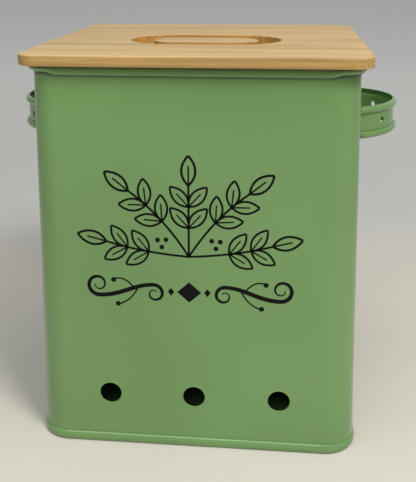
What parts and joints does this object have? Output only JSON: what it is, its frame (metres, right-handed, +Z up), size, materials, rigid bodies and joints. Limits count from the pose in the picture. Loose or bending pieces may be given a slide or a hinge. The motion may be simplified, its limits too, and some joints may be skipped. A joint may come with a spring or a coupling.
{
  "type": "lidded storage bin",
  "caption": "Tall painted steel kitchen storage bin with rounded corners, vent holes low on the front, strap side handles and a lift-off bamboo lid with a sunk grip bar.",
  "frame": {"origin": "middle of the bin's footprint, on the table", "axes": "+X to the viewer's right through the right handle, +Y away from the viewer, from the vented front to the seamed back, +Z up"},
  "size_m": [0.3108, 0.24, 0.303],
  "materials": {
    "green_paint": "mid-green satin enamel on sheet steel",
    "bamboo": "oiled bamboo, staves left to right",
    "screw_steel": "zinc-plated screws"
  },
  "bodies": {
    "bin": {"bin_wall": "green_paint", "bin_base": "green_paint", "left_handle": "green_paint", "right_handle": "green_paint", "left_handle_rivets": "green_paint", "right_handle_rivets": "green_paint"},
    "lid": {"lid_board": "bamboo", "lid_locating_board": "bamboo", "lid_grip_bar": "bamboo", "lid_board_screws": "screw_steel", "grip_bar_screws": "screw_steel"}
  },
  "joints": [
    {"name": "lid_lift", "type": "slide", "parent": "bin", "child": "lid", "axis": [0, 0, 1], "range_m": [0, 0.15]}
  ]
}
